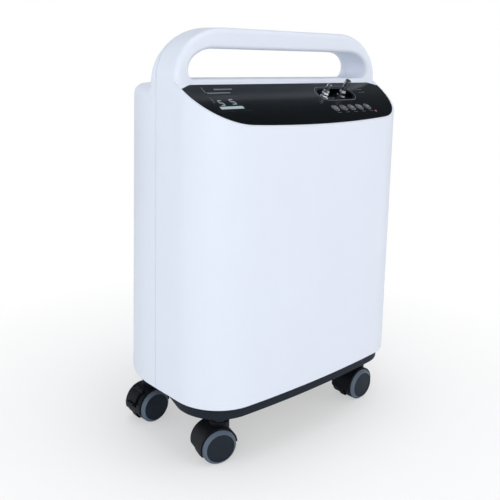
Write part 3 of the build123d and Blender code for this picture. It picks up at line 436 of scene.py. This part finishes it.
# outlines centred on each key; bars are x0, x1, y0, y1, corner radius
ICONS = {
    "power": [arc_band(2.1, 2.75, 125, 415), bar(-0.35, 0.35, 0.9, 3.2, 0.2)],
    "minus": [bar(-2.3, 2.3, -0.42, 0.42, 0.2)],
    "plus": [bar(-2.3, 2.3, -0.42, 0.42, 0.2), bar(-0.42, 0.42, -2.3, -0.44, 0.15),
             bar(-0.42, 0.42, 0.44, 2.3, 0.15)],
    "timer": [arc_band(2.1, 2.7, 0, 359), bar(-0.3, 0.3, 0.0, 1.7, 0.1),
              bar(0.3, 1.5, -0.05, 0.5, 0.1)],
    "mode": [bar(-2.2, 2.2, 1.2, 1.9, 0.15), bar(-2.2, 2.2, -0.35, 0.35, 0.15),
             bar(-2.2, 2.2, -1.9, -1.2, 0.15)],
}


def mark(name, outlines, x, y, mat, lift=PRINT_LIFT, top=0.10, body="cabinet"):
    bm = bmesh.new()
    matrix = slope_matrix(x, y, lift)
    for outline in outlines:
        plate(bm, outline, MARK_SINK, top, matrix)
    piece(name, bm, mat, body)


def figure_five(x, y, w, h, t):
    """Seven-segment 5 with its lower left corner at x, y and strokes t wide."""
    segments = (
        (t * .6, w - t * .6, h - t, h),                          # top
        (0, t, h / 2 + .2, h - .3),                              # upper left
        (t * .6, w - t * .6, h / 2 - t / 2, h / 2 + t / 2),      # middle
        (w - t, w, .3, h / 2 - .2),                              # lower right
        (t * .6, w - t * .6, 0, t),                              # bottom
    )
    return [bar(x + x0, x + x1, y + y0, y + y1, 0.3) for x0, x1, y0, y1 in segments]


def display():
    """Two-figure readout above a lit bar, with ticks to its left."""
    figures = figure_five(-15.0, -5.0, 6.4, 10.0, 1.5) + figure_five(2.0, -3.6, 7.0, 10.0, 1.6)
    mark("lcd_figures", figures, LCD_X + 1.0, LCD_Y, "lcd_digit_dim", LCD_LIFT)
    mark("lcd_bar", [bar(-18.0, 15.0, -11.2, -6.6, 0.5)], LCD_X, LCD_Y, "lcd_digit", LCD_LIFT)
    ticks = [bar(-20.4, -18.8, 1.0 + i * 3.0, 2.2 + i * 3.0, 0.2) for i in range(3)]
    mark("lcd_ticks", ticks, LCD_X, LCD_Y, "ink_dim", LCD_LIFT)


def recess_line():
    """Pale line printed round the outlet recess."""
    length, width = RECESS_LINE
    inset = 2 * RECESS_LINE_WIDTH
    bm = bmesh.new()
    matrix = slope_matrix(RECESS_X, RECESS_Y, PRINT_LIFT)
    outer, inner = [
        [add_vert(bm, matrix, x, y, LINE_HEIGHT) for x, y in outline]
        for outline in (stadium(length, width), stadium(length - inset, width - inset))]
    band(bm, outer, inner)
    piece("recess_line", bm, "ink_soft", "cabinet")


def key_ring(key, key_x):
    bm = bmesh.new()
    matrix = slope_matrix(key_x, KEY_Y, PRINT_LIFT)
    outer, inner = [], []
    for i in range(KEY_RING_STEPS):
        a = 2 * math.pi * i / KEY_RING_STEPS
        for loop, r in ((outer, KEY_RING_OUTER), (inner, KEY_RING_INNER)):
            loop.append(add_vert(bm, matrix, r * math.cos(a), r * math.sin(a), LINE_HEIGHT))
    band(bm, outer, inner)
    piece(f"key_ring_{key}", bm, "ink", "cabinet")


def keys():
    """Icon on each key, with a printed ring round it and a dashed line below."""
    for i, (key, icon) in enumerate(ICONS.items()):
        key_x = KEY_X + i * KEY_PITCH
        mark(f"icon_{key}", icon, key_x, KEY_Y, "ink", ICON_LIFT, 0.12, f"key_{key}")
        key_ring(key, key_x)
        mark(f"key_line_{key}", dashes(3, 2.4, -3.2, -1.6, -9.2, -8.4, 0.15),
             key_x, KEY_Y, "ink_dim")


def labels():
    outlet_dashes = dashes(4, 2.6, -5, -3.2, 0, 0.9, 0.15)
    mark("outlet_line_1", outlet_dashes, 120.0, -62.0, "ink_dim")
    mark("outlet_line_2", outlet_dashes, 120.0, -67.0, "ink_dim")
    mark("label_line_1", dashes(8, 3.4, 0, 2.3, -1.1, 1.1, 0.2), -126.0, -56.0, "ink_soft")
    mark("label_line_2", dashes(10, 3.4, 0, 2.3, -1.0, 1.0, 0.2), -140.0, -61.6, "ink_soft")
    mark("label_edge", [bar(-0.5, 0.5, -4.8, 5.2, 0.2)], -142.0, -57.0, "ink_dim")


display()
recess_line()
keys()
labels()


# ---------------------------------------------------------------- floor and world
def sheet(name, corners, mat):
    """Single face through the corners, in metres."""
    bm = bmesh.new()
    bm.faces.new([bm.verts.new(c) for c in corners])
    obj = mesh_object(name, bm)
    obj.data.materials.append(mat)
    return obj


def floor_material():
    """Pale floor that fades to white with distance, but only as the camera sees it."""
    mat = bpy.data.materials.new("floor_pale")
    mat.use_nodes = True
    nodes = NodeBuilder(mat.node_tree)
    shader = mat.node_tree.nodes["Principled BSDF"]
    coords = nodes.object_coords()
    color = nodes.mix(nodes.noise(coords, scale=3.0), (0.93, 0.93, 0.935), (0.95, 0.95, 0.952))
    nodes.fill(shader, {"Base Color": color, "Roughness": 0.7, "Specular IOR Level": 0.1})
    distance = nodes.node("ShaderNodeVectorMath", {0: coords}, operation="LENGTH")
    whiteness = nodes.span(distance.outputs["Value"], 0.22, 0.60, 0.45, 1.0)
    seen = nodes.node("ShaderNodeLightPath").outputs["Is Camera Ray"]
    glow = nodes.node("ShaderNodeEmission", {"Color": (1.0, 1.0, 1.0)})
    surface = nodes.mix_shader(nodes.math("MULTIPLY", whiteness, seen),
                               shader.outputs[0], glow.outputs[0])
    nodes.fill(mat.node_tree.nodes["Material Output"], {"Surface": surface})
    return mat


FLOOR_HALF = 6.0
sheet("floor", [(x * FLOOR_HALF, y * FLOOR_HALF, 0.0)
                         for x, y in ((-1, -1), (1, -1), (1, 1), (-1, 1))], floor_material())


def studio_world():
    """White to the camera, a darkening sky in gloss, an even pale light otherwise."""
    world = bpy.data.worlds.new("studio")
    scene.world = world
    nodes = blank_tree(world)

    def background(color, strength):
        inputs = {"Color": color, "Strength": strength}
        return nodes.node("ShaderNodeBackground", inputs).outputs[0]

    direction = nodes.node("ShaderNodeTexCoord").outputs["Generated"]
    height = nodes.node("ShaderNodeSeparateXYZ", {0: direction}).outputs["Z"]
    sky = nodes.mix(nodes.span(height, 0.15, 0.55, 0.0, 1.0),
                    (0.85, 0.88, 0.92), (0.05, 0.055, 0.065))
    ray = nodes.node("ShaderNodeLightPath").outputs
    unseen = nodes.mix_shader(ray["Is Glossy Ray"], background((0.97, 0.98, 1.0), 0.62),
                              background(sky, 1.0))
    surface = nodes.mix_shader(ray["Is Camera Ray"], unseen, background((1.0, 1.0, 1.0), 1.0))
    nodes.node("ShaderNodeOutputWorld", {"Surface": surface})


studio_world()


# ---------------------------------------------------------------- lights
def area(name, at, target, size, energy, color):
    """Rectangular light, aimed at a target and hidden from gloss."""
    light = bpy.data.lights.new(name, "AREA")
    light.shape = "RECTANGLE"
    light.size, light.size_y = size
    light.energy = energy
    light.color = color
    obj = bpy.data.objects.new(name, light)
    obj.location = at
    obj.rotation_mode = "QUATERNION"
    obj.rotation_quaternion = (Vector(target) - Vector(at)).to_track_quat("-Z", "Y")
    obj.visible_glossy = False
    scene.collection.objects.link(obj)


area("key", at=(-1.9, -1.6, 0.85), target=(0, 0, 0.30), size=(1.6, 1.3), energy=19.0,
     color=(0.985, 0.99, 1.0))
area("fill", at=(1.5, -1.9, 0.8), target=(0, 0, 0.25), size=(1.6, 1.4), energy=10.0,
     color=(0.97, 0.98, 1.0))
area("top", at=(0.1, -0.2, 2.4), target=(0, 0, 0.3), size=(1.4, 1.4), energy=12.0,
     color=(1.0, 1.0, 1.0))
area("side", at=(-2.0, 0.7, 0.8), target=(0, 0, 0.28), size=(1.2, 1.2), energy=3.6,
     color=(0.66, 0.82, 1.0))

# ---------------------------------------------------------------- sheen card
CAMERA_AT = Vector((-630.50, -666.37, 485.03))         # mm
CARD_DISTANCE = 1700.0                                 # mm, from the panel
# the camera mirrored in the plane of the panel
CAMERA_MIRRORED = CAMERA_AT - 2 * (
    CAMERA_AT - slope_point(0, SLOPE_Y)).dot(SLOPE_NORMAL) * SLOPE_NORMAL
# panel x, y at which the camera sees each corner of the card reflected
CARD_CORNERS = ((-260, -73), (150, -70), (230, -60), (230, -20), (-260, -20))


def reflected(x, y):
    """Place, in metres, that the camera sees reflected at a point on the panel."""
    point = slope_point(x, y)
    return (point + (point - CAMERA_MIRRORED).normalized() * CARD_DISTANCE) * MM


def sheen_card():
    """Pale card, seen only in gloss, that gives the panel its sheen."""
    mat = bpy.data.materials.new("card")
    nodes = blank_tree(mat)
    position = nodes.node("ShaderNodeNewGeometry").outputs["Position"]
    across = nodes.node("ShaderNodeSeparateXYZ", {0: position}).outputs["X"]
    strength = nodes.span(across, reflected(-150, -62).x, reflected(120, -62).x, 0.42, 0.30)
    glow = nodes.node("ShaderNodeEmission", {"Color": (0.85, 0.92, 1.0), "Strength": strength})
    nodes.node("ShaderNodeOutputMaterial", {"Surface": glow.outputs[0]})
    card = sheet("sheen_card", [reflected(x, y) for x, y in CARD_CORNERS], mat)
    card.visible_camera = card.visible_diffuse = False
    card.visible_shadow = card.visible_transmission = False


sheen_card()


# ---------------------------------------------------------------- camera
def add_camera(azimuth, pitch, roll, lens):
    """Camera looking down by pitch, turned from +Y by azimuth; angles in degrees."""
    azimuth, pitch, roll = (math.radians(a) for a in (azimuth, pitch, roll))
    ahead = Vector((-math.sin(azimuth) * math.cos(pitch), math.cos(azimuth) * math.cos(pitch),
                    -math.sin(pitch)))
    level = Vector((math.cos(azimuth), math.sin(azimuth), 0))
    upright = level.cross(ahead)
    right = math.cos(roll) * level + math.sin(roll) * upright
    up = -math.sin(roll) * level + math.cos(roll) * upright
    camera = bpy.data.cameras.new("camera")
    camera.sensor_width = 36.0
    camera.lens = lens
    camera.clip_start, camera.clip_end = 0.02, 50.0
    obj = bpy.data.objects.new("camera", camera)
    columns = [(*v, 0) for v in (right, up, -ahead)] + [(*(CAMERA_AT * MM), 1)]
    obj.matrix_world = Matrix(columns).transposed()
    scene.collection.objects.link(obj)
    scene.camera = obj


add_camera(azimuth=-42.790, pitch=15.730, roll=1.4038, lens=50.0868)
scene.view_settings.view_transform = "Standard"
scene.view_settings.look = "None"
